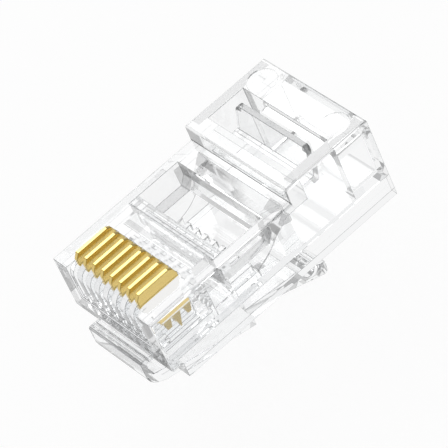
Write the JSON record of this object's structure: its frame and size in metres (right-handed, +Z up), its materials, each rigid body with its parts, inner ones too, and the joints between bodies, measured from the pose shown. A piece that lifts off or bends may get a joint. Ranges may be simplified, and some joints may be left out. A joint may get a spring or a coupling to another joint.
{
  "type": "modular plug",
  "caption": "Clear modular network plug with a row of gold blade contacts, open top windows, a jacket anchor and a sprung latch.",
  "frame": {"origin": "on the front face, at mid width, at the height of the wire row", "axes": "+X across the plug, +Y from the front face to the cable end, +Z up, with the contacts above and the latch below"},
  "size_m": [0.0116, 0.0226, 0.0137],
  "materials": {
    "clear_plastic": "clear polycarbonate",
    "gold_plate": "gold plated"
  },
  "bodies": {
    "housing": {"housing": "clear_plastic"},
    "latch": {"latch": "clear_plastic"},
    "contact_1": {"contact_1": "gold_plate"},
    "contact_2": {"contact_2": "gold_plate"},
    "contact_3": {"contact_3": "gold_plate"},
    "contact_4": {"contact_4": "gold_plate"},
    "contact_5": {"contact_5": "gold_plate"},
    "contact_6": {"contact_6": "gold_plate"},
    "contact_7": {"contact_7": "gold_plate"},
    "contact_8": {"contact_8": "gold_plate"},
    "wire_clamp": {"wire_clamp": "clear_plastic"},
    "jacket_anchor": {"jacket_anchor": "clear_plastic"}
  },
  "joints": [
    {"name": "latch_flex", "type": "hinge", "parent": "housing", "child": "latch", "pos_m": [0, -0.0003, -0.00111], "axis": [1, 0, 0], "range_deg": [0, 16], "stiffness_Nm_per_rad": 0.4},
    {"name": "contact_1_crimp", "type": "slide", "parent": "housing", "child": "contact_1", "axis": [0, 0, 1], "range_m": [-0.0013, 0]},
    {"name": "contact_2_crimp", "type": "slide", "parent": "housing", "child": "contact_2", "axis": [0, 0, 1], "range_m": [-0.0013, 0]},
    {"name": "contact_3_crimp", "type": "slide", "parent": "housing", "child": "contact_3", "axis": [0, 0, 1], "range_m": [-0.0013, 0]},
    {"name": "contact_4_crimp", "type": "slide", "parent": "housing", "child": "contact_4", "axis": [0, 0, 1], "range_m": [-0.0013, 0]},
    {"name": "contact_5_crimp", "type": "slide", "parent": "housing", "child": "contact_5", "axis": [0, 0, 1], "range_m": [-0.0013, 0]},
    {"name": "contact_6_crimp", "type": "slide", "parent": "housing", "child": "contact_6", "axis": [0, 0, 1], "range_m": [-0.0013, 0]},
    {"name": "contact_7_crimp", "type": "slide", "parent": "housing", "child": "contact_7", "axis": [0, 0, 1], "range_m": [-0.0013, 0]},
    {"name": "contact_8_crimp", "type": "slide", "parent": "housing", "child": "contact_8", "axis": [0, 0, 1], "range_m": [-0.0013, 0]},
    {"name": "wire_clamp_press", "type": "slide", "parent": "housing", "child": "wire_clamp", "axis": [0, 0, 1], "range_m": [-0.00055, 0]},
    {"name": "jacket_anchor_fold", "type": "hinge", "parent": "housing", "child": "jacket_anchor", "pos_m": [0, 0.0152, 0.00323], "axis": [1, 0, 0], "range_deg": [-35, 0]}
  ]
}
